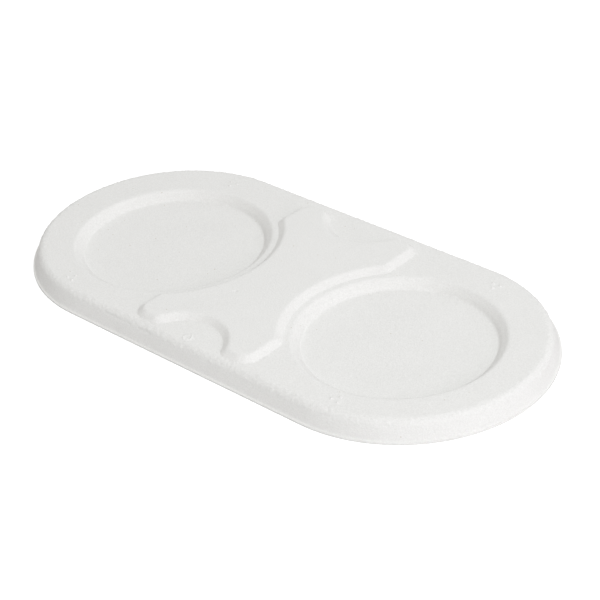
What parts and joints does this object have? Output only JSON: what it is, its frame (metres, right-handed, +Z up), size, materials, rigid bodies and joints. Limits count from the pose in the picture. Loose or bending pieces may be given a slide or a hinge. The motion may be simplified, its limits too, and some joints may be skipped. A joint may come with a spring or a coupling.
{
  "type": "tapas tray",
  "caption": "Shallow oblong tray of moulded bagasse pulp, with a round recess at each end for a dip bowl and a raised platform with finger notches between them.",
  "frame": {"origin": "the middle of the footprint, on the surface the tray stands on", "axes": "X along the tray, parallel to the line through both recess centres, Y across it towards the back, Z up; the pressed relief sits 1.0 to 2.6 mm off the rim's middle, the recesses towards +X and -Y and the platform towards -X and -Y"},
  "size_m": [0.2602, 0.1282, 0.0115],
  "materials": {
    "pulp": "matt, slightly fibrous"
  },
  "bodies": {
    "root": {"tray": "pulp"}
  },
  "joints": []
}
